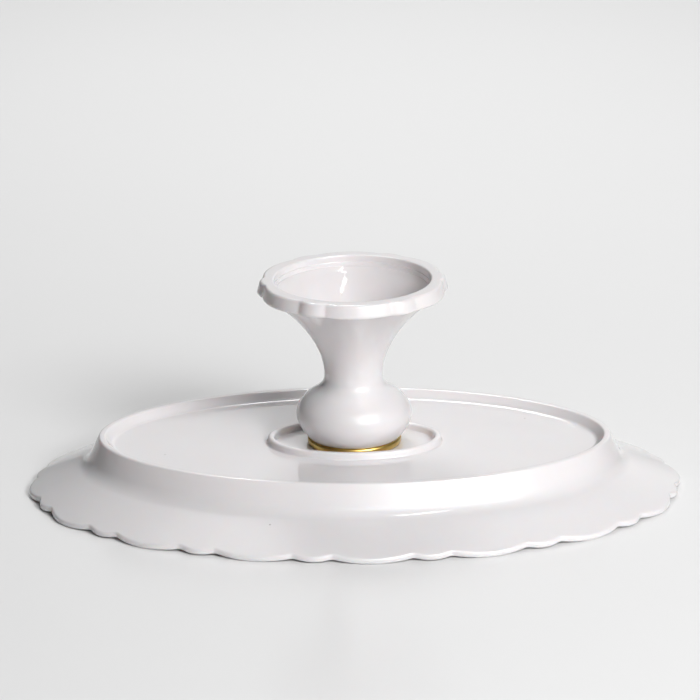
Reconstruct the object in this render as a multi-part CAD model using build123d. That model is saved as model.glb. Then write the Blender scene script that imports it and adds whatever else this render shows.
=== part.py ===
from build123d import *
import math
import os

# An oval plate on a trumpet-shaped foot, both in white glazed porcelain.
# It lies upside down, on its scalloped rim, with the mouth of the foot up.
# One threaded rod clamps foot, brass collar and plate together.
# Millimetres, +Z up. The origin is below the plate's centre, in the plane that the rim rests on,
# and the plate's long axis runs along X.

# Plate: heights are above the rim's plane, insets are measured in from the rim's outline
plate_length = 350.0
plate_width = 235.0
crest_height = 30.8
crest_inset = 38.3
crest_width = 3.2
crest_rounding = 1.4
bend_height = 16.0
bend_inset = 31.3
bend_radius = 7.0
underside_sink = 4.5
cove_width = 4.0
cove_radius = 3.0
rim_thickness = 3.4
rim_rounding = 1.1
flange_thickness = 4.8
well_wall_thickness = 5.2
floor_thickness = 5.0
well_radius = 8.0
floor_overlap = 10.0

# Scallops of the plate's rim: wide lobes, with a small one between each two
plate_lobes = 16
plate_wide_share = 0.68
plate_lobe_depth = 3.8
plate_small_set_back = 1.3
plate_cusp_radius = 2.5
plate_lobe_turn = 0.19

# Oval bead on the plate's underside, round the seat of the foot
bead_length = 89.0
bead_width = 56.0
bead_height = 3.6
bead_base = 5.0
bead_top = 3.0
bead_rounding = 1.2

# Foot: heights are above its small end, which faces the plate
foot_height = 87.3
foot_end_radius = 24.4
foot_bulb_radius = 30.8
foot_bulb_height = 13.0
foot_shoulder_radius = 24.4
foot_shoulder_height = 23.4
foot_waist_radius = 15.6
foot_waist_height = 34.5
foot_stem_radius = 21.6
foot_stem_height = 54.0
foot_flare_radius = 31.0
foot_flare_height = 66.5
foot_throat_radius = 46.0
foot_wall = 4.5
foot_end_wall = 6.0
rim_height = 7.6
rim_radius = 51.0
rim_top_radius = 49.0
mouth_radius = 41.5
mouth_lip = 6.0
mouth_ledge = 1.2

# Scallops of the foot's rim
foot_lobes = 6
foot_wide_share = 0.70
foot_lobe_depth = 1.7
foot_small_set_back = 0.0
foot_lobe_turn = 5.0

# Brass collar between plate and foot, with a soft gasket let into each face
collar_radius = 25.0
collar_thickness = 3.8
collar_bore = 6.5
collar_rounding = 1.3
collar_clearance = 0.2
gasket_radius = 20.0
gasket_recess = 0.6
gasket_side_clearance = 0.3

# Threaded rod and what it clamps
rod_radius = 3.0
rod_end_chamfer = 0.6
rod_stand_out = 8.0
thread_clearance = 0.05
porcelain_hole_clearance = 1.0
washer_hole_clearance = 0.2
nut_flats = 10.0
nut_height = 5.0
nut_chamfer = 0.5
washer_radius = 10.0
washer_thickness = 1.6
inner_gasket_thickness = 1.5

# Cap nut and rosette on the plate's face
face_gasket_radius = 12.0
face_gasket_thickness = 1.0
rosette_radius = 16.0
rosette_thickness = 1.4
rosette_seat_radius = 9.0
rosette_rim_gap = 0.3
cap_flats = 10.0
cap_hex_height = 4.0
cap_dome_height = 4.5
cap_dome_radius = 4.6
cap_roof = 1.6

# Levels that follow from the sizes above
underside = crest_height - underside_sink
face = underside - floor_thickness
collar_bottom = underside + collar_clearance
collar_top = collar_bottom + collar_thickness
foot_end = collar_top + collar_clearance
mouth = foot_end + foot_height
clamp_face = foot_end + foot_end_wall
washer_bottom = clamp_face + inner_gasket_thickness
nut_bottom = washer_bottom + washer_thickness
nut_top = nut_bottom + nut_height
rod_top = nut_top + rod_stand_out
rosette_top = face - face_gasket_thickness
cap_top = rosette_top - rosette_thickness
cap_bottom = cap_top - cap_hex_height - cap_dome_height
rod_bottom = cap_bottom + cap_roof
porcelain_hole = rod_radius + porcelain_hole_clearance
washer_hole = rod_radius + washer_hole_clearance
nut_hole = rod_radius + thread_clearance


def angles_at(semi_x, semi_y, shares, steps=3600):
    """The ellipse's parameter at each share of the way round from the +X end.

    The scallops are spaced half-way between equal lengths of rim and equal angles."""
    lengths = [0.0]
    for step in range(steps):
        middle = (step + 0.5) * 2 * math.pi / steps
        speed = math.hypot(semi_x * math.sin(middle), semi_y * math.cos(middle))
        lengths.append(lengths[-1] + speed)
    angles = []
    for share in shares:
        whole, part_share = divmod(share, 1.0)
        wanted = part_share * lengths[-1]
        step = next(i for i in range(steps) if lengths[i + 1] >= wanted)
        within = (wanted - lengths[step]) / (lengths[step + 1] - lengths[step])
        angles.append(math.pi * (2 * whole + part_share + (step + within) / steps))
    return angles


def inset_point(semi_x, semi_y, angle, inset):
    """A point on the ellipse, moved in square to it."""
    slope = Vector(semi_y * math.cos(angle), semi_x * math.sin(angle)).normalized()
    return Vector(semi_x * math.cos(angle), semi_y * math.sin(angle)) - slope * inset


def scalloped(semi_x, semi_y, lobes, wide_share, depth, small_set_back, turn_share=0.0):
    """A closed outline of arcs: wide lobes that touch the ellipse, with a small lobe between each two."""
    ends = []
    for lobe in range(lobes):
        ends.append(((lobe - wide_share / 2) / lobes, (lobe + wide_share / 2) / lobes, 0.0))
        ends.append(((lobe + wide_share / 2) / lobes, (lobe + 1 - wide_share / 2) / lobes, small_set_back))
    arcs = []
    for start, end, set_back in ends:
        shares = [turn_share + share for share in (start, (start + end) / 2, end)]
        first, top, last = angles_at(semi_x, semi_y, shares)
        arcs.append(
            ThreePointArc(
                inset_point(semi_x, semi_y, first, depth),
                inset_point(semi_x, semi_y, top, set_back),
                inset_point(semi_x, semi_y, last, depth),
            )
        )
    return make_face(Wire(arcs))


def ring(outer, inner, bottom, top):
    """A flat ring between two levels."""
    height = top - bottom
    blank = Cylinder(outer, height, align=(Align.CENTER, Align.CENTER, Align.MIN))
    hole = Cylinder(inner, height, align=(Align.CENTER, Align.CENTER, Align.MIN))
    return Pos(0, 0, bottom) * (blank - hole)


def turned(outline):
    """A solid turned about Z from a closed outline of (radius, height) lines."""
    return revolve(make_face(Plane.XZ * outline), Axis.Z)


def make_plate():
    """Flange, foot ring and well as one section swept round the oval, with a flat floor across the middle."""
    semi_x = plate_length / 2
    semi_y = plate_width / 2
    overhang = 1.0
    shoulder_inset = bend_inset + 1.0
    # The rounding lifts the rim's lowest point, so its corner starts that much below the rest plane.
    corner = 0.0
    for _ in range(8):
        flange_slope = (bend_height - rim_thickness - corner) / bend_inset
        face_slope = flange_slope - (flange_thickness - rim_thickness) / shoulder_inset
        corner = -rim_rounding * (face_slope + math.hypot(1, face_slope) - 1)
    shoulder_height = corner + face_slope * shoulder_inset
    crest_inner = crest_inset + crest_width
    floor_inset = crest_inner + cove_width
    well_inset = crest_inset + well_wall_thickness
    inner_inset = floor_inset + floor_overlap
    section = [
        (-overhang, corner - overhang * face_slope),
        (shoulder_inset, shoulder_height),
        (well_inset, face),
        (inner_inset, face),
        (inner_inset, underside),
        (floor_inset, underside),
        (crest_inner, crest_height),
        (crest_inset, crest_height),
        (bend_inset, bend_height),
        (-overhang, corner + rim_thickness - overhang * flange_slope),
    ]
    corners = [Vector(semi_x - inset, 0, height) for inset, height in section]
    profile = make_face(Polyline(*corners, close=True))
    radii = {
        1: well_radius,
        2: well_radius,
        5: cove_radius,
        6: crest_rounding,
        7: crest_rounding,
        8: bend_radius,
    }
    for index, radius in radii.items():
        nearest = min(profile.vertices(), key=lambda vertex: (vertex.center() - corners[index]).length)
        profile = fillet(nearest, radius)
    path = Wire(Edge.make_ellipse(semi_x, semi_y))
    body = sweep(profile, path=path)
    middle_inset = floor_inset + floor_overlap / 2
    middle = extrude(Ellipse(semi_x - middle_inset, semi_y - middle_inset), floor_thickness)
    body = body + Pos(0, 0, face) * middle
    turn_share = plate_lobe_turn / plate_lobes
    outline = scalloped(
        semi_x, semi_y, plate_lobes, plate_wide_share, plate_lobe_depth, plate_small_set_back, turn_share
    )
    outline = fillet(outline.vertices(), plate_cusp_radius)
    body = body & extrude(outline, crest_height * 2, both=True)
    walls = body.faces().filter_by(GeomType.CYLINDER)
    rim_edges = [edge for edge in walls.edges() if edge.geom_type != GeomType.LINE]
    body = fillet(rim_edges, rim_rounding)
    body = body + make_bead()
    return body - Pos(0, 0, face) * Cylinder(porcelain_hole, floor_thickness * 3)


def make_bead():
    """The low oval bead that keeps the middle of the plate from sagging in the kiln."""
    semi_x = bead_length / 2
    semi_y = bead_width / 2
    root = floor_thickness / 2
    corners = [
        Vector(semi_x - bead_base / 2, 0, underside - root),
        Vector(semi_x - bead_base / 2, 0, underside),
        Vector(semi_x - bead_top / 2, 0, underside + bead_height),
        Vector(semi_x + bead_top / 2, 0, underside + bead_height),
        Vector(semi_x + bead_base / 2, 0, underside),
        Vector(semi_x + bead_base / 2, 0, underside - root),
    ]
    profile = make_face(Polyline(*corners, close=True))
    tops = profile.vertices().group_by(Axis.Z)[-1]
    profile = fillet(tops, bead_rounding)
    return sweep(profile, path=Wire(Edge.make_ellipse(semi_x, semi_y)))


def make_foot():
    """A hollow trumpet with a bulb at its small end and a scalloped rim round its mouth."""
    rim_bottom = mouth - rim_height
    bulb = Spline(
        (foot_end_radius, foot_end),
        (foot_bulb_radius, foot_end + foot_bulb_height),
        (foot_shoulder_radius, foot_end + foot_shoulder_height),
        (foot_waist_radius, foot_end + foot_waist_height),
        tangents=((0.9, 1), (0, 1)),
        tangent_scalars=(1, 1.4),
    )
    trumpet = Spline(
        (foot_waist_radius, foot_end + foot_waist_height),
        (foot_stem_radius, foot_end + foot_stem_height),
        (foot_flare_radius, foot_end + foot_flare_height),
        (foot_throat_radius, rim_bottom),
        tangents=((0, 1), (1, 0.75)),
    )
    body = turned(
        Polyline((0, rim_bottom), (0, foot_end), (foot_end_radius, foot_end))
        + bulb
        + trumpet
        + Line((foot_throat_radius, rim_bottom), (0, rim_bottom))
    )
    turn_share = foot_lobe_turn / 360 - 0.25
    levels = []
    for radius, level in ((rim_radius, rim_bottom), (rim_top_radius, mouth)):
        outline = scalloped(
            radius, radius, foot_lobes, foot_wide_share, foot_lobe_depth, foot_small_set_back, turn_share
        )
        levels.append(Pos(0, 0, level) * outline)
    body = body + loft(levels, ruled=True)
    inside_points = []
    for curve, shares in ((bulb, (0.2, 0.4, 0.6, 0.8)), (trumpet, (0, 0.25, 0.5, 0.75))):
        for share in shares:
            along = curve % share
            inside_points.append(curve @ share + Vector(-along.Y, along.X) * foot_wall)
    lip_bottom = mouth - mouth_lip
    ledge_radius = mouth_radius - mouth_ledge
    inside = Spline(*inside_points, (ledge_radius, lip_bottom))
    corner = inside_points[0]
    hollow = turned(
        Polyline(corner, (corner.X, clamp_face), (0, clamp_face), (0, mouth), (mouth_radius, mouth))
        + Polyline((mouth_radius, mouth), (mouth_radius, lip_bottom), (ledge_radius, lip_bottom))
        + inside
    )
    return body - hollow - Pos(0, 0, foot_end) * Cylinder(porcelain_hole, foot_end_wall * 3)


def make_collar():
    """A turned brass ring with a shallow recess for a gasket in each face."""
    height = collar_thickness
    blank = Pos(0, 0, collar_bottom) * Cylinder(
        collar_radius, height, align=(Align.CENTER, Align.CENTER, Align.MIN)
    )
    blank = fillet(blank.edges().filter_by(GeomType.CIRCLE), collar_rounding)
    recess = gasket_radius + gasket_side_clearance
    blank = blank - ring(recess, collar_bore, collar_bottom, collar_bottom + gasket_recess)
    blank = blank - ring(recess, collar_bore, collar_top - gasket_recess, collar_top)
    return blank - Pos(0, 0, collar_bottom) * Cylinder(collar_bore, height * 3)


def hexagon(flats, bottom, height, hole):
    """A hexagon nut with its corners turned down at both ends."""
    blank = extrude(RegularPolygon(flats / 2, 6, major_radius=False), height)
    corner = flats / math.sqrt(3)
    cone = Cylinder(corner, height, align=(Align.CENTER, Align.CENTER, Align.MIN))
    cone = chamfer(cone.edges().filter_by(GeomType.CIRCLE), nut_chamfer, corner - flats / 2)
    drill = Cylinder(hole, height * 3)
    return Pos(0, 0, bottom) * ((blank & cone) - drill)


def make_rod():
    """The clamping rod, plain here, with both ends chamfered."""
    rod = Cylinder(rod_radius, rod_top - rod_bottom, align=(Align.CENTER, Align.CENTER, Align.MIN))
    rod = chamfer(rod.edges().filter_by(GeomType.CIRCLE), rod_end_chamfer)
    return Pos(0, 0, rod_bottom) * rod


def make_rosette():
    """A dished brass washer whose rim curves back to the plate's face."""
    rim_top = face - rosette_rim_gap
    rim_bottom = rim_top - rosette_thickness
    inner = Line((washer_hole, rosette_top), (washer_hole, cap_top))
    under = Line((washer_hole, cap_top), (rosette_seat_radius, cap_top))
    outer_arc = TangentArc((rosette_seat_radius, cap_top), (rosette_radius, rim_bottom), tangent=(1, 0))
    edge = Line((rosette_radius, rim_bottom), (rosette_radius, rim_top))
    back = Polyline(
        (rosette_radius, rim_top),
        (face_gasket_radius + gasket_side_clearance, rosette_top),
        (washer_hole, rosette_top),
    )
    return turned(inner + under + outer_arc + edge + back)


def make_cap_nut():
    """A domed cap nut: a hexagon with a blind hole, and a dome that closes it."""
    hex_bottom = cap_top - cap_hex_height
    body = Pos(0, 0, hex_bottom) * extrude(
        RegularPolygon(cap_flats / 2, 6, major_radius=False), cap_hex_height
    )
    dome = turned(
        Line((0, hex_bottom), (0, cap_bottom))
        + EllipticalCenterArc(
            (0, hex_bottom), cap_dome_radius, cap_dome_height, start_angle=270, arc_size=90
        )
        + Line((cap_dome_radius, hex_bottom), (0, hex_bottom))
    )
    hole = Cylinder(nut_hole, cap_top - rod_bottom, align=(Align.CENTER, Align.CENTER, Align.MIN))
    return body + dome - Pos(0, 0, rod_bottom) * hole


pieces = {
    "plate": make_plate(),
    "face_gasket": ring(face_gasket_radius, washer_hole, rosette_top, face),
    "rosette": make_rosette(),
    "cap_nut": make_cap_nut(),
    "tie_rod": make_rod(),
    "plate_gasket": ring(gasket_radius, collar_bore, underside, collar_bottom + gasket_recess),
    "collar": make_collar(),
    "foot_gasket": ring(gasket_radius, collar_bore, collar_top - gasket_recess, foot_end),
    "foot": make_foot(),
    "inner_gasket": ring(washer_radius, washer_hole, clamp_face, washer_bottom),
    "clamp_washer": ring(washer_radius, washer_hole, washer_bottom, nut_bottom),
    "hex_nut": hexagon(nut_flats, nut_bottom, nut_height, nut_hole),
}

os.makedirs("parts", exist_ok=True)
for name, piece in pieces.items():
    export_step(piece, f"parts/{name}.step")
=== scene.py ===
import bpy
import math
import numpy as np
from mathutils import Matrix, Vector


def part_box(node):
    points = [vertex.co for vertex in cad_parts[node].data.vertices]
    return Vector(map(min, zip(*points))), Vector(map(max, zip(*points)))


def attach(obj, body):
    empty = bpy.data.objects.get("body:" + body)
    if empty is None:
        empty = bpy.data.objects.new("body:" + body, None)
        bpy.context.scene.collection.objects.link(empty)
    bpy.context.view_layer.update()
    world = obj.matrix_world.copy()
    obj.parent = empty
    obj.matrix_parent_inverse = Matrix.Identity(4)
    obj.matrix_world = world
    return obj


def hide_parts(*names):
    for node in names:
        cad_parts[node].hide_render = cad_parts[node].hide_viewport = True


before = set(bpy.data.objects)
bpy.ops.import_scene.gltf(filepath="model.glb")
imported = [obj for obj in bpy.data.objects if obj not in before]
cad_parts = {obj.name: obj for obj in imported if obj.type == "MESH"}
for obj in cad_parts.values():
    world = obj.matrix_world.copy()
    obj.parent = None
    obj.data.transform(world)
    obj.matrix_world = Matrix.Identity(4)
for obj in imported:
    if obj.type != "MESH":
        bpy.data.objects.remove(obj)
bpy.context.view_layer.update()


# Plate: one pressed porcelain piece, lying face down on its scalloped rim with the foot ring upward.
# White body under a clear, glossy glaze that softens every edge. The oval bead on the underside
# kept the middle from sagging in the kiln, and the foot stands inside it.
METRE = 1000.0
plate_half_length = 175.0
plate_half_width = 117.5
crest_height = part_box("plate")[1].z * METRE
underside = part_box("plate_gasket")[0].z * METRE
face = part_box("face_gasket")[1].z * METRE
crest_inset = 38.3
crest_width = 3.2
crest_radius = 1.4
bend_inset = 31.3
bend_height = 16.0
bend_radius = 13.0
cove_width = 4.0
cove_radius = 3.0
rim_thickness = 3.4
rim_over_radius = 1.6
rim_under_radius = 1.1
flange_thickness = 4.8
shoulder_inset = bend_inset + 1.0
well_wall = 5.2
well_radius = 8.0
flat_inset = 56.0
plate_lobes = 16
plate_wide_share = 0.68
plate_lobe_depth = 3.8
plate_small_set_back = 1.3
plate_lobe_turn = 0.19
plate_cusp_softness = 1.8
bead_half_length = 44.5
bead_half_width = 28.0
bead_height = 3.6
bead_base = 5.0
bead_top = 3.0
bead_radius = 1.4
bead_root_radius = 1.0
bead_reach = 4.2
rod_hole = 4.0
hole_edge = 0.4
middle_radius = 20.0
plate_wide_steps, plate_small_steps = 24, 12
hole_steps, middle_steps = 36, 144


def oval_turns(half_length, half_width, shares):
    """The oval's angle parameter at each share of the way round from the +X end.

    The scallops are spaced half-way between equal lengths of rim and equal angles."""
    fine_steps = 7200
    shares = np.mod(shares, 1.0)
    ends = np.linspace(0, 2 * math.pi, fine_steps + 1)
    middles = (ends[1:] + ends[:-1]) / 2
    speeds = np.hypot(half_length * np.sin(middles), half_width * np.cos(middles))
    way = np.concatenate(([0.0], np.cumsum(speeds)))
    by_length = np.interp(shares * way[-1], way, ends)
    return by_length / 2 + math.pi * shares


def oval_point(half_length, half_width, turn, inset, height):
    """A point of an oval, moved in square to it, at the given height."""
    cosine, sine = math.cos(turn), math.sin(turn)
    out = Vector((half_width * cosine, half_length * sine, 0)).normalized()
    return Vector((half_length * cosine, half_width * sine, height)) - out * inset


def scallops(lobes, wide_share, wide_steps, small_steps, depth, set_back, softness, turn=0.0):
    """Columns round a scalloped rim as (share of the way round, inset), crowded towards the cusps."""
    small_share = 1 - wide_share
    columns = []
    for lobe in range(lobes):
        for middle, width, steps in ((0.0, wide_share, wide_steps), (0.5, small_share, small_steps)):
            for step in range(steps):
                at = middle + width / 2 * math.sin(math.pi * (step / steps - 0.5))
                to_wide = min(abs(at), abs(at - 1)) / (wide_share / 2)
                to_small = min(abs(at - 0.5), abs(at + 0.5)) / (small_share / 2)
                wide_inset = depth * to_wide**2
                small_inset = set_back + (depth - set_back) * to_small**2
                overlap = max(softness - abs(wide_inset - small_inset), 0.0)
                inset = min(wide_inset, small_inset) - overlap**2 / (4 * softness)
                columns.append(((lobe + at + turn) / lobes, inset))
    return columns


def rounded(corners, hold=0.5):
    """Points along a run of corners (across, up, radius, steps), each rounded by an arc.

    A point just before and after each arc keeps a long straight run beside it straight when shaded."""
    points = []
    for index, (across, up, radius, steps) in enumerate(corners):
        corner = Vector((across, up))
        if radius == 0:
            points.append(corner)
            continue
        back = Vector(corners[index - 1][:2]) - corner
        ahead = Vector(corners[index + 1][:2]) - corner
        half_angle = back.angle(ahead) / 2
        reach = radius / math.tan(half_angle)
        long_run = reach + 6 * hold
        towards_back, towards_ahead = back.normalized(), ahead.normalized()
        centre = corner + (towards_back + towards_ahead).normalized() * radius / math.sin(half_angle)
        first = corner + towards_back * reach - centre
        sweep = first.angle_signed(corner + towards_ahead * reach - centre)
        if back.length > long_run:
            points.append(corner + towards_back * (reach + hold))
        for step in range(steps + 1):
            turn = -sweep * step / steps
            points.append(centre + Matrix.Rotation(turn, 2) @ first)
        if ahead.length > long_run:
            points.append(corner + towards_ahead * (reach + hold))
    return points


def skin(name, rows, ends_join=True):
    """A smooth mesh through closed rows of points in millimetres.

    Where a row has fewer points than its neighbour, a face spans several of the neighbour's. The last row
    joins the first, or a face closes each of the two."""
    points, starts, faces = [], [], []
    for row in rows:
        starts.append(len(points))
        points += [point / METRE for point in row]
    pairs = list(zip(range(len(rows)), range(1, len(rows))))
    if ends_join:
        pairs.append((len(rows) - 1, 0))
    else:
        faces.append(list(range(starts[0] + len(rows[0]) - 1, starts[0] - 1, -1)))
        faces.append(list(range(starts[-1], starts[-1] + len(rows[-1]))))
    for low, high in pairs:
        low_count, high_count = len(rows[low]), len(rows[high])
        cells = min(low_count, high_count)
        low_span, high_span = low_count // cells, high_count // cells
        for cell in range(cells):
            below = [starts[low] + (cell * low_span + k) % low_count for k in range(low_span + 1)]
            above = [starts[high] + (cell * high_span + k) % high_count for k in range(high_span + 1)]
            faces.append(below + above[::-1])
    mesh = bpy.data.meshes.new(name)
    mesh.from_pydata(points, [], faces)
    mesh.polygons.foreach_set("use_smooth", [True] * len(faces))
    mesh.update()
    piece = bpy.data.objects.new(name, mesh)
    bpy.context.scene.collection.objects.link(piece)
    return piece


def rod_ring(count, radius, height):
    """A circle of points round the rod's axis."""
    turns = [2 * math.pi * step / count for step in range(count)]
    return [Vector((radius * math.cos(turn), radius * math.sin(turn), height)) for turn in turns]


def plate_mesh():
    """Rows from the rod hole over the face, round the rim, and back over the underside to the hole."""
    columns = scallops(
        plate_lobes, plate_wide_share, plate_wide_steps, plate_small_steps, plate_lobe_depth,
        plate_small_set_back, plate_cusp_softness, plate_lobe_turn,
    )
    turns = oval_turns(plate_half_length, plate_half_width, [share for share, _ in columns])
    slope_now = (bend_height - rim_thickness) / bend_inset
    thickening = (flange_thickness - rim_thickness) / shoulder_inset
    face_slope = slope_now - thickening
    rim_drop = rim_under_radius * (face_slope + math.hypot(1, face_slope) - 1)
    flange_slope = slope_now + rim_drop / bend_inset
    face_slope = flange_slope - thickening
    cove_inset = crest_inset + crest_width + cove_width
    sections = []
    for _, inset in columns:
        sections.append(rounded([
            (flat_inset, face, 0, 0),
            (crest_inset + well_wall, face, well_radius, 8),
            (shoulder_inset, face_slope * shoulder_inset - rim_drop, well_radius, 8),
            (inset, face_slope * inset - rim_drop, rim_under_radius, 5),
            (inset, flange_slope * inset - rim_drop + rim_thickness, rim_over_radius, 8),
            (bend_inset, bend_height, bend_radius, 14),
            (crest_inset, crest_height, crest_radius, 8),
            (crest_inset + crest_width, crest_height, crest_radius, 8),
            (cove_inset, underside, cove_radius, 9),
            (flat_inset, underside, 0, 0),
        ]))
    middle = [
        rod_ring(hole_steps, rod_hole, face + hole_edge),
        rod_ring(hole_steps, rod_hole + hole_edge, face),
        rod_ring(middle_steps, middle_radius, face),
    ]
    rim = [
        [oval_point(plate_half_length, plate_half_width, turn, *spot) for turn, spot in zip(turns, level)]
        for level in zip(*sections)
    ]
    bead_section = rounded([
        (bead_reach, underside, 0, 0),
        (bead_base / 2, underside, bead_root_radius, 6),
        (bead_top / 2, underside + bead_height, bead_radius, 7),
        (-bead_top / 2, underside + bead_height, bead_radius, 7),
        (-bead_base / 2, underside, bead_root_radius, 6),
        (-bead_reach, underside, 0, 0),
    ], hold=0.3)
    bead = [
        [oval_point(bead_half_length, bead_half_width, turn, -out, up) for turn in turns[::2]]
        for out, up in bead_section
    ]
    seat = [
        rod_ring(hole_steps, rod_hole + hole_edge, underside),
        rod_ring(hole_steps, rod_hole, underside - hole_edge),
    ]
    return skin("plate_glazed", middle + rim + bead + seat)


def node_material(name, roughness, **sockets):
    """A new material with its constant values on the shader's own sockets.

    Gives it, a function that adds a node with its settings and with inputs by place or by name, and a
    function that feeds an output to one of the shader's sockets."""
    material = bpy.data.materials.new(name)
    material.use_nodes = True
    tree = material.node_tree
    shader = tree.nodes["Principled BSDF"]
    shader.inputs["Roughness"].default_value = roughness
    for socket, value in sockets.items():
        shader.inputs[socket.replace("_", " ")].default_value = value

    def add(kind, settings=None, places=None, **inputs):
        node = tree.nodes.new(kind)
        for key, value in (settings or {}).items():
            setattr(node, key, value)
        values = {key.replace("_", " "): value for key, value in inputs.items()}
        values.update(places or {})
        for key, value in values.items():
            if isinstance(value, bpy.types.NodeSocket):
                tree.links.new(value, node.inputs[key])
            else:
                node.inputs[key].default_value = value
        return node

    def feed(socket, output):
        tree.links.new(output, shader.inputs[socket])

    return material, add, feed


def ramp(add, factor, stops):
    """A colour ramp with the given (position, colour) stops."""
    node = add("ShaderNodeValToRGB", Fac=factor)
    elements = node.color_ramp.elements
    for index, (position, colour) in enumerate(stops):
        element = elements[index] if index < 2 else elements.new(position)
        element.position = position
        element.color = (*colour, 1)
    return node.outputs["Color"]


def glazed_porcelain(name):
    """White, slightly translucent body under a glossy clear glaze.

    It has a faint cloudiness, slow waves in the gloss, and a dark pinhole here and there."""
    material, add, feed = node_material(
        name, 0.32, Coat_Weight=1.0, Coat_Roughness=0.025, Coat_IOR=1.52, IOR=1.45,
        Subsurface_Weight=0.26, Subsurface_Radius=(0.0065, 0.0038, 0.0028), Subsurface_Scale=1.0,
    )
    place = add("ShaderNodeTexCoord").outputs["Object"]
    cloud = add("ShaderNodeTexNoise", Vector=place, Scale=14.0, Detail=4.0, Roughness=0.55)
    body = ramp(add, cloud.outputs["Fac"], [(0.3, (0.755, 0.728, 0.738)), (0.7, (0.785, 0.762, 0.770))])
    cells = add("ShaderNodeTexVoronoi", Vector=place, Scale=120.0, Randomness=1.0)
    off_spot = add("ShaderNodeMapRange", Value=cells.outputs["Distance"], From_Min=0.03, From_Max=0.06)
    draw = add("ShaderNodeSeparateColor", Color=cells.outputs["Color"]).outputs["Red"]
    no_spot = add("ShaderNodeMath", {"operation": "LESS_THAN"}, {0: draw, 1: 0.95})
    clear = add(
        "ShaderNodeMath", {"operation": "MAXIMUM"},
        {0: off_spot.outputs["Result"], 1: no_spot.outputs["Value"]},
    )
    # places of the mix node's two colour inputs and of its colour output
    dark, light, mixed = 6, 7, 2
    marked = add(
        "ShaderNodeMix", {"data_type": "RGBA"},
        {0: clear.outputs["Value"], dark: (0.20, 0.17, 0.15, 1), light: body},
    )
    feed("Base Color", marked.outputs[mixed])
    waves = add("ShaderNodeTexNoise", Vector=place, Scale=26.0, Detail=1.0)
    waved = add("ShaderNodeBump", Height=waves.outputs["Fac"], Strength=0.06, Distance=0.004)
    peel = add("ShaderNodeTexNoise", Vector=place, Scale=420.0, Detail=2.0)
    peeled = add(
        "ShaderNodeBump", Height=peel.outputs["Fac"], Strength=0.02, Distance=0.0006,
        Normal=waved.outputs["Normal"],
    )
    feed("Normal", peeled.outputs["Normal"])
    feed("Coat Normal", peeled.outputs["Normal"])
    return material


porcelain = glazed_porcelain("white_porcelain")
plate = plate_mesh()
plate.data.materials.append(porcelain)
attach(plate, "plate")
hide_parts("plate")


# Soft seals: punched rings of pale rubber, one each side of the plate's floor and of the foot's end.
# They keep metal off the glaze and take up the unevenness of the fired faces. The rod runs through
# all of them.
seal_edge = 0.2
narrow_seal_hole = 3.2
wide_seal_hole = 6.5


def turned(name, corners, count=96):
    """A ring turned round the rod's axis, from a closed run of corners as for rounded."""
    first, last = (*corners[0][:2], 0, 0), (*corners[-1][:2], 0, 0)
    closed = rounded([last, *corners, first], hold=0.2)[1:-1]
    return skin(name, [rod_ring(count, radius, height) for radius, height in closed])


def flat_ring(name, node, hole, edge):
    """A flat ring with softened edges that fills the place of a node."""
    low, high = (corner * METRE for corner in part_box(node))
    bottom, top, outer = low.z, high.z, high.x
    return turned(name, [
        (hole, bottom, edge, 3), (outer, bottom, edge, 3), (outer, top, edge, 3), (hole, top, edge, 3),
    ])


def soft_rubber(name):
    """Pale rubber, matte, with the fine grain of a punched sheet."""
    material, add, feed = node_material(name, 0.62, Subsurface_Weight=0.1)
    place = add("ShaderNodeTexCoord").outputs["Object"]
    mottle = add("ShaderNodeTexNoise", Vector=place, Scale=160.0, Detail=5.0)
    feed("Base Color", ramp(add, mottle.outputs["Fac"], [
        (0.3, (0.50, 0.48, 0.45)), (0.7, (0.62, 0.60, 0.57)),
    ]))
    grain = add("ShaderNodeTexNoise", Vector=place, Scale=1800.0, Detail=3.0)
    bump = add("ShaderNodeBump", Height=grain.outputs["Fac"], Strength=0.25, Distance=0.0002)
    feed("Normal", bump.outputs["Normal"])
    return material


rubber = soft_rubber("pale_rubber")
for node, body, hole in (
    ("face_gasket", "plate", narrow_seal_hole),
    ("plate_gasket", "plate", wide_seal_hole),
    ("foot_gasket", "foot", wide_seal_hole),
    ("inner_gasket", "foot", narrow_seal_hole),
):
    seal = flat_ring(f"{node}_ring", node, hole, seal_edge)
    seal.data.materials.append(rubber)
    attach(seal, body)
    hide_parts(node)


# Collar: a turned brass ring between plate and foot, polished and lacquered.
# Its edge shows as a gold line under the bulb of the foot. A recess in each face takes a seal.
collar_low, collar_high = (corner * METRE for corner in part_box("collar"))
collar_radius = collar_high.x
collar_bore = 6.5
collar_rounding = 1.3
recess_radius = 20.3
recess_depth = 0.6
recess_edge = 0.15
collar_steps = 192


def polished_brass(name):
    """Lacquered brass: fine turning lines, warm tarnish in patches, a soft gloss."""
    material, add, feed = node_material(name, 0.2, Metallic=1.0, Coat_Weight=0.25, Coat_Roughness=0.1)
    place = add("ShaderNodeTexCoord").outputs["Object"]
    patches = add("ShaderNodeTexNoise", Vector=place, Scale=120.0, Detail=5.0, Roughness=0.6)
    feed("Base Color", ramp(add, patches.outputs["Fac"], [
        (0.25, (0.60, 0.40, 0.09)), (0.5, (0.74, 0.52, 0.15)), (0.8, (0.80, 0.60, 0.22)),
    ]))
    dull = add(
        "ShaderNodeMapRange", Value=patches.outputs["Fac"],
        From_Min=0.3, From_Max=0.7, To_Min=0.42, To_Max=0.28,
    )
    feed("Roughness", dull.outputs["Result"])
    lines = add(
        "ShaderNodeTexWave", {"wave_type": "RINGS", "rings_direction": "Z"},
        Vector=place, Scale=900.0, Distortion=0.6,
    )
    bump = add("ShaderNodeBump", Height=lines.outputs["Fac"], Strength=0.12, Distance=0.00008)
    feed("Normal", bump.outputs["Normal"])
    return material


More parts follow.
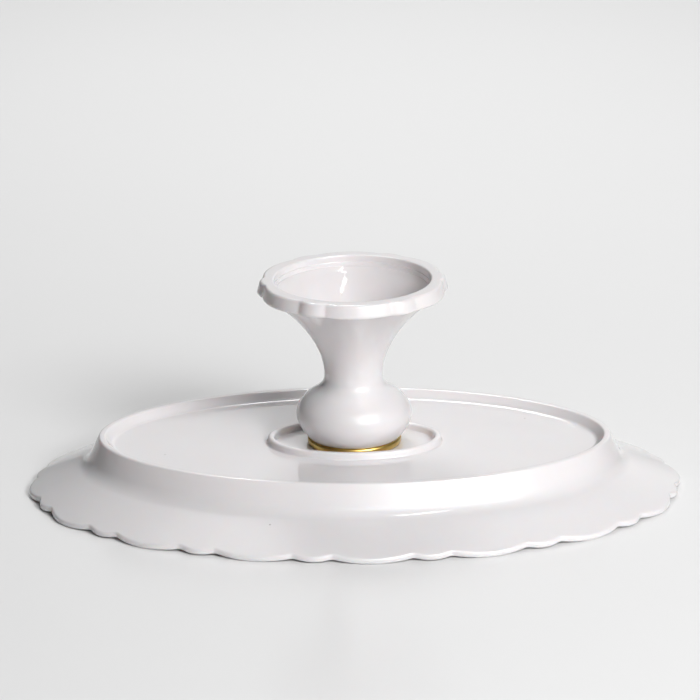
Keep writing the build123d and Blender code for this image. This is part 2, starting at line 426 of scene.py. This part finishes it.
brass = polished_brass("polished_brass")
collar = turned("collar_ring", [
    (collar_bore, collar_low.z + recess_depth, recess_edge, 3),
    (recess_radius, collar_low.z + recess_depth, recess_edge, 3),
    (recess_radius, collar_low.z, recess_edge, 3),
    (collar_radius, collar_low.z, collar_rounding, 8),
    (collar_radius, collar_high.z, collar_rounding, 8),
    (recess_radius, collar_high.z, recess_edge, 3),
    (recess_radius, collar_high.z - recess_depth, recess_edge, 3),
    (collar_bore, collar_high.z - recess_depth, recess_edge, 3),
], count=collar_steps)
collar.data.materials.append(brass)
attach(collar, "plate")
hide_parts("collar")


# Rosette: a dished brass washer on the plate's face, spun from sheet, under the cap nut.
# Its middle lies on the face seal and its rim curves back to just short of the glaze.
rosette_low, rosette_high = (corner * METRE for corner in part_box("rosette"))
rosette_radius = rosette_high.x
rosette_hole = 3.2
rosette_thickness = 1.4
rosette_seat_radius = 9.0
rosette_pocket_radius = 12.3
rosette_dish_rounding = 6.0
rosette_edge = 0.3
rosette_steps = 144
rosette_seat_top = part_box("face_gasket")[0].z * METRE
rosette = turned("rosette_washer", [
    (rosette_hole, rosette_low.z, rosette_edge, 3),
    (rosette_seat_radius, rosette_low.z, rosette_dish_rounding, 10),
    (rosette_radius, rosette_high.z - rosette_thickness, rosette_edge, 3),
    (rosette_radius, rosette_high.z, rosette_edge, 3),
    (rosette_pocket_radius, rosette_seat_top, rosette_edge, 3),
    (rosette_hole, rosette_seat_top, rosette_edge, 3),
], count=rosette_steps)
rosette.data.materials.append(brass)
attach(rosette, "plate")
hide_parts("rosette")


# Cap nut: a domed brass nut on the plate's face that closes the rod's lower end.
# Turned from hexagon bar: flats for a spanner, a polished dome below them, a blind threaded hole.
cap_low, cap_high = (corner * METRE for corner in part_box("cap_nut"))
cap_flats = cap_high.y - cap_low.y
cap_hex_height = 4.0
cap_dome_radius = 4.6
cap_hole = 3.05
cap_countersink = 0.4
cap_roof = 1.6
nut_corner_tilt = math.radians(30)
nut_steps, dome_steps = 96, 12


def hexagon_rows(flats, bottom, top):
    """Two rows round a hexagon whose corners are turned down by a cone at both ends."""
    low_row, high_row = [], []
    for step in range(nut_steps):
        turn = 2 * math.pi * step / nut_steps
        from_flat = (turn + math.pi / 6) % (math.pi / 3) - math.pi / 6
        radius = flats / 2 / math.cos(from_flat)
        drop = (radius - flats / 2) * math.tan(nut_corner_tilt)
        out = Vector((radius * math.sin(turn), radius * math.cos(turn), 0))
        low_row.append(out + Vector((0, 0, bottom + drop)))
        high_row.append(out + Vector((0, 0, top - drop)))
    return low_row[::-1], high_row[::-1]


def crease(piece, degrees=28):
    """Keeps edges sharper than this crisp on a machined piece."""
    piece.data.set_sharp_from_angle(angle=math.radians(degrees))


cap_hex_bottom = cap_high.z - cap_hex_height
dome = []
for step in range(1, dome_steps + 1):
    turn = math.pi / 2 * step / dome_steps
    height = cap_hex_bottom - (cap_hex_bottom - cap_low.z) * math.cos(turn)
    dome.append(rod_ring(nut_steps, cap_dome_radius * math.sin(turn), height))
cap_low_row, cap_high_row = hexagon_rows(cap_flats, cap_hex_bottom, cap_high.z)
cap_nut = skin("cap_nut_domed", dome + [
    rod_ring(nut_steps, cap_flats / 2, cap_hex_bottom),
    cap_low_row,
    cap_high_row,
    rod_ring(nut_steps, cap_flats / 2, cap_high.z),
    rod_ring(nut_steps, cap_hole + cap_countersink, cap_high.z),
    rod_ring(nut_steps, cap_hole, cap_high.z - cap_countersink),
    rod_ring(nut_steps, cap_hole, cap_low.z + cap_roof),
], ends_join=False)
crease(cap_nut)
cap_nut.data.materials.append(brass)
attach(cap_nut, "plate")
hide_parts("cap_nut")


# Tie rod: a length of brass rod with a 6 mm coarse thread rolled from end to end.
# It is screwed into the cap nut, runs up through plate, collar and foot, and takes the nut on top.
rod_low, rod_high = (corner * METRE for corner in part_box("tie_rod"))
rod_radius = rod_high.x
thread_pitch = 1.0
thread_depth = 0.5
thread_steps = 10
thread_flank = 1.3
thread_root = 0.15
rod_end_chamfer = 0.6


def threaded_rod(name, count=48):
    """Rows up the rod, each pushed in and out by the thread's groove, which climbs a pitch a turn."""
    rows = []
    steps = round((rod_high.z - rod_low.z) / thread_pitch * thread_steps)
    for step in range(steps + 1):
        height = rod_low.z + (rod_high.z - rod_low.z) * step / steps
        to_end = min(height - rod_low.z, rod_high.z - height)
        end_radius = rod_radius - max(rod_end_chamfer - to_end, 0.0)
        row = []
        for index in range(count):
            turn = 2 * math.pi * index / count
            phase = (height / thread_pitch - index / count) % 1.0
            crest = min(max(abs(2 * phase - 1) * thread_flank - thread_root, 0.0), 1.0)
            radius = min(rod_radius - thread_depth * (1 - crest), end_radius)
            row.append(Vector((radius * math.cos(turn), radius * math.sin(turn), height)))
        rows.append(row)
    return skin(name, rows, ends_join=False)


tie_rod = threaded_rod("tie_rod_thread")
crease(tie_rod, degrees=40)
tie_rod.data.materials.append(brass)
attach(tie_rod, "plate")
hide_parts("tie_rod")


# Foot: one cast hollow piece of the same porcelain, a trumpet with a bulb at its small end.
# The slip was poured off, so inside follows outside; a scalloped rim with a flat face rings the mouth.
foot_low, foot_high = (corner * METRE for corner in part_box("foot"))
foot_end, mouth = foot_low.z, foot_high.z
foot_end_radius = 24.4
foot_end_edge = 0.7
waist = (15.6, 34.5)
bulb_knots = ((foot_end_radius, 0.0), (30.8, 13.0), (24.4, 23.4), waist)
bulb_start, bulb_finish = (0.67, 0.74), (0.0, 1.4)
trumpet_knots = (waist, (21.6, 54.0), (31.0, 66.5), (46.0, 79.7))
trumpet_start, trumpet_finish = (0.0, 1.0), (0.8, 0.6)
foot_wall = 4.5
foot_end_wall = 6.0
foot_floor_radius = 2.0
rim_height = 7.6
rim_radius = 51.0
rim_top_radius = 49.0
rim_lower_edge = 1.5
rim_upper_edge = 1.6
rim_root_radius = 1.6
mouth_radius = 41.5
mouth_edge = 0.9
mouth_lip = 6.0
mouth_ledge = 1.2
lip_step_depth = 3.6
lip_step = 0.6
ledge_edge = 0.25
ledge_root = (1.5, 1.6)
foot_lobes = 6
foot_wide_share = 0.70
foot_lobe_depth = 1.7
foot_small_set_back = 0.0
foot_cusp_softness = 0.7
foot_lobe_turn = math.radians(5.0 - 90.0)
flute_depth = 0.6
flute_height = 16.0
foot_wide_steps, foot_small_steps = 36, 18
curve_steps = 14
inside_ends, inside_every, inside_steps = 9, 3, 4


def smooth_curve(knots, start, finish, steps):
    """Points along a smooth curve through the knots that leaves and arrives at the given velocities."""
    knots = np.array(knots)
    spans = np.hypot(*np.diff(knots, axis=0).T)
    system = np.eye(len(knots))
    velocities = np.zeros_like(knots)
    velocities[0], velocities[-1] = start, finish
    for index in range(1, len(knots) - 1):
        before, after = spans[index - 1], spans[index]
        system[index, index - 1:index + 2] = after, 2 * (before + after), before
        rise_before = (knots[index] - knots[index - 1]) / before
        rise_after = (knots[index + 1] - knots[index]) / after
        velocities[index] = 3 * (after * rise_before + before * rise_after)
    velocities = np.linalg.solve(system, velocities)
    points = []
    for index, span in enumerate(spans):
        for step in range(steps):
            t = step / steps
            leave = velocities[index] * span * t * (1 - t) ** 2
            arrive = velocities[index + 1] * span * t**2 * (1 - t)
            point = knots[index] * (1 + 2 * t) * (1 - t) ** 2 + knots[index + 1] * t**2 * (3 - 2 * t)
            points.append(Vector(point + leave - arrive))
    return points + [Vector(knots[-1])]


def foot_mesh():
    """Rows from the rod hole over the small end, up the outside, over the rim and down the inside."""
    lift = Vector((0, foot_end))
    outside = smooth_curve(bulb_knots, bulb_start, bulb_finish, curve_steps)[:-1]
    outside += smooth_curve(trumpet_knots, trumpet_start, trumpet_finish, curve_steps)
    outside = [point + lift for point in outside]
    inside = []
    for index in range(inside_ends, len(outside) - inside_ends, inside_every):
        along = (outside[index + 1] - outside[index - 1]).normalized()
        inside.append(outside[index] + Vector((-along.y, along.x)) * foot_wall)
    lip_bottom = mouth - mouth_lip
    ledge_radius = mouth_radius - mouth_ledge
    inside_knots = [tuple(point) for point in inside]
    inside_knots.append((ledge_radius - ledge_root[0], lip_bottom - ledge_root[1]))
    first_way = Vector(inside_knots[1]) - Vector(inside_knots[0])
    last_way = Vector(inside_knots[-1]) - Vector(inside_knots[-2])
    inside = smooth_curve(inside_knots, first_way.normalized(), last_way.normalized(), inside_steps)
    clamp_face = foot_end + foot_end_wall
    rim_bottom = mouth - rim_height
    columns = scallops(
        foot_lobes, foot_wide_share, foot_wide_steps, foot_small_steps, foot_lobe_depth,
        foot_small_set_back, foot_cusp_softness,
    )
    sections = []
    for _, inset in columns:
        points = rounded([
            (rod_hole, foot_end + hole_edge, 0, 0),
            (rod_hole + hole_edge, foot_end, 0, 0),
            (foot_end_radius, foot_end, foot_end_edge, 4),
            (*outside[1], 0, 0),
        ])
        for point in outside[2:-1]:
            fade = max((point.y - rim_bottom) / flute_height + 1, 0.0)
            points.append(point - Vector((flute_depth * inset * fade**2, 0)))
        points += rounded([
            (*points[-1], 0, 0),
            (outside[-1].x - flute_depth * inset, rim_bottom, rim_root_radius, 5),
            (rim_radius - inset, rim_bottom, rim_lower_edge, 6),
            (rim_top_radius - inset, mouth, rim_upper_edge, 8),
            (mouth_radius, mouth, mouth_edge, 6),
            (mouth_radius, mouth - lip_step_depth, ledge_edge, 3),
            (mouth_radius - lip_step, mouth - lip_step_depth, ledge_edge, 3),
            (mouth_radius - lip_step, lip_bottom, ledge_edge, 3),
            (ledge_radius, lip_bottom, ledge_edge, 3),
            (*inside[-1], 0, 0),
        ])[1:]
        points += inside[-2:0:-1]
        points += rounded([
            (*inside[0], 0, 0),
            (inside[0].x, clamp_face, foot_floor_radius, 5),
            (rod_hole + hole_edge, clamp_face, 0, 0),
            (rod_hole, clamp_face - hole_edge, 0, 0),
        ])
        sections.append(points)
    turns = [2 * math.pi * share + foot_lobe_turn for share, _ in columns]
    rows = []
    for level in zip(*sections):
        rows.append([
            Vector((radius * math.cos(turn), radius * math.sin(turn), height))
            for turn, (radius, height) in zip(turns, level)
        ])
    return skin("foot_glazed", rows)


foot = foot_mesh()
foot.data.materials.append(porcelain)
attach(foot, "foot")
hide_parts("foot")


# Clamp washer and nut: a punched steel washer and a hexagon nut, both zinc plated.
# They pull on the inside of the foot's end wall, and are reached through the mouth with a socket spanner.
washer_hole = 3.2
washer_edge = 0.25
nut_low, nut_high = (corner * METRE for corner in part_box("hex_nut"))
nut_flats = nut_high.y - nut_low.y
nut_hole = 3.05
nut_countersink = 0.45


def zinc_plate(name):
    """Bright zinc: a faint spangle, fine scratches, a soft metallic gloss."""
    material, add, feed = node_material(name, 0.3, Metallic=1.0)
    place = add("ShaderNodeTexCoord").outputs["Object"]
    spangle = add("ShaderNodeTexVoronoi", Vector=place, Scale=700.0)
    feed("Base Color", ramp(add, spangle.outputs["Distance"], [
        (0.1, (0.55, 0.55, 0.54)), (0.8, (0.70, 0.70, 0.69)),
    ]))
    cloud = add("ShaderNodeTexNoise", Vector=place, Scale=220.0, Detail=4.0)
    gloss = add("ShaderNodeMapRange", Value=cloud.outputs["Fac"], To_Min=0.22, To_Max=0.42)
    feed("Roughness", gloss.outputs["Result"])
    scratch = add("ShaderNodeTexNoise", Vector=place, Scale=1600.0, Detail=3.0)
    bump = add("ShaderNodeBump", Height=scratch.outputs["Fac"], Strength=0.1, Distance=0.0001)
    feed("Normal", bump.outputs["Normal"])
    return material


zinc = zinc_plate("bright_zinc")
washer = flat_ring("clamp_washer_punched", "clamp_washer", washer_hole, washer_edge)
washer.data.materials.append(zinc)
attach(washer, "washer")
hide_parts("clamp_washer")

nut_low_row, nut_high_row = hexagon_rows(nut_flats, nut_low.z, nut_high.z)
nut = skin("hex_nut_turned", [
    rod_ring(nut_steps, nut_hole, nut_low.z + nut_countersink),
    rod_ring(nut_steps, nut_hole + nut_countersink, nut_low.z),
    rod_ring(nut_steps, nut_flats / 2, nut_low.z),
    nut_low_row,
    nut_high_row,
    rod_ring(nut_steps, nut_flats / 2, nut_high.z),
    rod_ring(nut_steps, nut_hole + nut_countersink, nut_high.z),
    rod_ring(nut_steps, nut_hole, nut_high.z - nut_countersink),
])
crease(nut)
nut.data.materials.append(zinc)
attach(nut, "nut")
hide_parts("hex_nut")


# Floor: a plain pale table top, smooth and softly glossy, that the rim of the plate rests on.
# It reaches far enough on every side to fill the view.
floor_half = 8.0
floor_mesh = bpy.data.meshes.new("table_top")
floor_corners = [(across * floor_half, along * floor_half, 0) for across, along in (
    (-1, -1), (1, -1), (1, 1), (-1, 1),
)]
floor_mesh.from_pydata(floor_corners, [], [(0, 1, 2, 3)])
floor = bpy.data.objects.new("table_top", floor_mesh)
bpy.context.scene.collection.objects.link(floor)


def pale_table(name):
    """A pale, even, softly glossy surface."""
    material, add, feed = node_material(name, 0.2, IOR=1.6)
    place = add("ShaderNodeTexCoord").outputs["Object"]
    cloud = add("ShaderNodeTexNoise", Vector=place, Scale=1.5, Detail=2.0)
    feed("Base Color", ramp(add, cloud.outputs["Fac"], [
        (0.3, (0.84, 0.84, 0.84)), (0.7, (0.86, 0.86, 0.86)),
    ]))
    return material


floor_mesh.materials.append(pale_table("pale_table"))


# Light: a softbox at the front right inside the glow of a much wider one, a strip above that draws the
# streak in the foot's mouth, and a small one with a grid over the table behind. The room is dark but
# for a glow at the back, and nothing stands on the left, so the glaze has a shaded side.
def way_to(azimuth, elevation):
    """The direction at an azimuth, in degrees from the front towards the right, and an elevation."""
    turn, rise = math.radians(azimuth), math.radians(elevation)
    return Vector((math.sin(turn) * math.cos(rise), -math.cos(turn) * math.cos(rise), math.sin(rise)))


def softbox(name, location, target, width, height, power, core, spread=180):
    """A light turned to its target, with a grid that keeps its beam within the spread in degrees.

    Its cloth is fully bright out to the core, a share of its width and height, and fades from there to
    its edges."""
    light = bpy.data.lights.new(name, "AREA")
    light.shape = "RECTANGLE"
    light.size = width
    light.size_y = height
    light.energy = power
    light.spread = math.radians(spread)
    light.use_nodes = True
    nodes, links = light.node_tree.nodes, light.node_tree.links
    place = nodes.new("ShaderNodeNewGeometry")
    off_middle = nodes.new("ShaderNodeVectorMath")
    off_middle.operation = "SUBTRACT"
    off_middle.inputs[1].default_value = (0.5, 0.5, 0)
    either_side = nodes.new("ShaderNodeVectorMath")
    either_side.operation = "ABSOLUTE"
    across_and_up = nodes.new("ShaderNodeSeparateXYZ")
    further = nodes.new("ShaderNodeMath")
    further.operation = "MAXIMUM"
    fade = nodes.new("ShaderNodeMapRange")
    fade.interpolation_type = "SMOOTHSTEP"
    fade.inputs["From Min"].default_value = 0.5
    fade.inputs["From Max"].default_value = core / 2
    links.new(place.outputs["Parametric"], off_middle.inputs[0])
    links.new(off_middle.outputs["Vector"], either_side.inputs[0])
    links.new(either_side.outputs["Vector"], across_and_up.inputs["Vector"])
    links.new(across_and_up.outputs["X"], further.inputs[0])
    links.new(across_and_up.outputs["Y"], further.inputs[1])
    links.new(further.outputs["Value"], fade.inputs["Value"])
    links.new(fade.outputs["Result"], nodes["Emission"].inputs["Strength"])
    lamp = bpy.data.objects.new(name, light)
    lamp.location = location
    lamp.rotation_euler = (target - location).to_track_quat("-Z", "Y").to_euler()
    bpy.context.scene.collection.objects.link(lamp)


light_distance = 2.5
plate_place = Vector((0, 0, 0))
softbox(
    "softbox_front", way_to(37, 34) * light_distance, plate_place,
    width=0.7, height=0.7, power=36, core=0.9,
)
softbox(
    "softbox_wide", way_to(30, 34) * light_distance, plate_place,
    width=3.0, height=3.0, power=113, core=0.1,
)
softbox(
    "softbox_top", way_to(45, 75) * light_distance, plate_place,
    width=0.16, height=0.62, power=3.5, core=0.9,
)
softbox(
    "softbox_behind", Vector((-0.3, 1.8, 2.2)), Vector((-0.1, 0.8, 0)),
    width=1.0, height=1.0, power=6.2, core=0.6, spread=55,
)

room_glow = 0.02
back_glow = 1.0
back_focus = 10
world = bpy.data.worlds.new("studio")
bpy.context.scene.world = world
world.use_nodes = True
room = world.node_tree
room_way = room.nodes.new("ShaderNodeTexCoord")
towards_back = room.nodes.new("ShaderNodeVectorMath")
towards_back.operation = "DOT_PRODUCT"
towards_back.inputs[1].default_value = way_to(170, 18)
back_half = room.nodes.new("ShaderNodeMath")
back_half.operation = "MAXIMUM"
back_half.inputs[1].default_value = 0
back_lobe = room.nodes.new("ShaderNodeMath")
back_lobe.operation = "POWER"
back_lobe.inputs[1].default_value = back_focus
room_light = room.nodes.new("ShaderNodeMath")
room_light.operation = "MULTIPLY_ADD"
room_light.inputs[1].default_value = back_glow
room_light.inputs[2].default_value = room_glow
background = room.nodes["Background"]
background.inputs["Color"].default_value = (1, 1, 1, 1)
room.links.new(room_way.outputs["Generated"], towards_back.inputs[0])
room.links.new(towards_back.outputs["Value"], back_half.inputs[0])
room.links.new(back_half.outputs["Value"], back_lobe.inputs[0])
room.links.new(back_lobe.outputs["Value"], room_light.inputs[0])
room.links.new(room_light.outputs["Value"], background.inputs["Strength"])
bpy.context.scene.view_settings.view_transform = "Standard"


# Camera: a long lens a little above the plate, all but square to its long side, tipped by under a degree.
# It looks just above the table, and its shift sets the plate low in the picture.
view_distance = 2.5
view_way = way_to(1.63, 18.728)
view_roll = math.radians(-0.755)
view_target = Vector((0, 0, 0.05))
camera_data = bpy.data.cameras.new("camera")
camera_data.sensor_width = 36.0
camera_data.lens = 241.0
camera_data.shift_x = -0.0057
camera_data.shift_y = 0.0706
camera_data.clip_end = 50
camera = bpy.data.objects.new("camera", camera_data)
bpy.context.scene.collection.objects.link(camera)
aim = (-view_way).to_track_quat("-Z", "Y").to_matrix().to_4x4()
camera.matrix_world = (
    Matrix.Translation(view_target + view_way * view_distance) @ aim @ Matrix.Rotation(view_roll, 4, "Z")
)
bpy.context.scene.camera = camera
